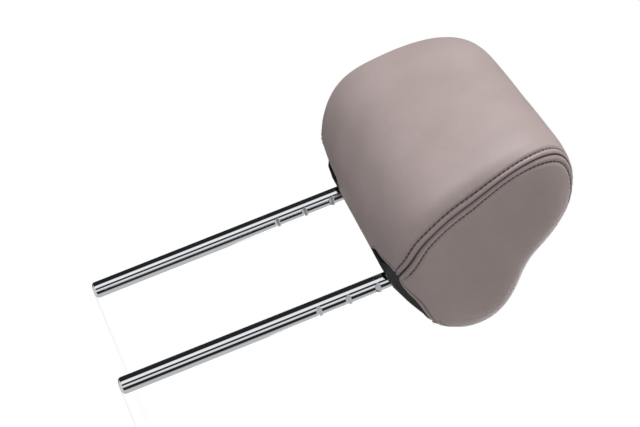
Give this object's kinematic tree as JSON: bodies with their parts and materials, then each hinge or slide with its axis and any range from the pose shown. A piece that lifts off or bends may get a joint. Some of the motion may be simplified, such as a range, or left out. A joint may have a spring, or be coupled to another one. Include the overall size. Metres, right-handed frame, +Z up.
{
  "type": "car seat head restraint",
  "caption": "Padded leather-covered head restraint with double-stitched side seams on a chromed U-shaped post frame with latch notches; the cushion tilts forward about the frame's cross bar.",
  "frame": {"origin": "midway between the two post axes, 235 mm above the post tips, level with the cushion's underside where the posts come out", "axes": "+Z up along the posts, which point down; -Y the front that faces the occupant; X across the seat, through both post axes"},
  "size_m": [0.2522, 0.1438, 0.3863],
  "materials": {
    "chrome": "bright polished chrome plating",
    "steel": "zinc-plated steel",
    "spring_steel": "phosphated spring steel",
    "leather": "fine-grained automotive leather, semi-matt",
    "thread": "bonded sewing thread",
    "foam": "moulded soft foam",
    "tape": "woven backing tape",
    "shell_plastic": "moulded polypropylene",
    "cover_plastic": "fine-grained glossy black",
    "bush_plastic": "natural acetal"
  },
  "bodies": {
    "posts": {"post_frame": "chrome", "stop_pin": "steel"},
    "head": {"front_shell": "shell_plastic", "rear_shell": "shell_plastic", "right_bush": "bush_plastic", "left_bush": "bush_plastic", "clamp_band": "spring_steel", "clamp_bolt": "steel", "clamp_washer": "spring_steel", "clamp_nut": "steel", "shell_screws": "steel", "foam_pad": "foam", "centre_cover": "leather", "right_side_cover": "leather", "left_side_cover": "leather", "right_seam_tape": "tape", "left_seam_tape": "tape", "front_hem_strip": "bush_plastic", "rear_hem_strip": "bush_plastic", "bottom_cover": "cover_plastic"}
  },
  "joints": [
    {"name": "head_tilt", "type": "hinge", "parent": "posts", "child": "head", "pos_m": [0, 0, 0.045], "axis": [1, 0, 0], "range_deg": [0, 10]}
  ]
}
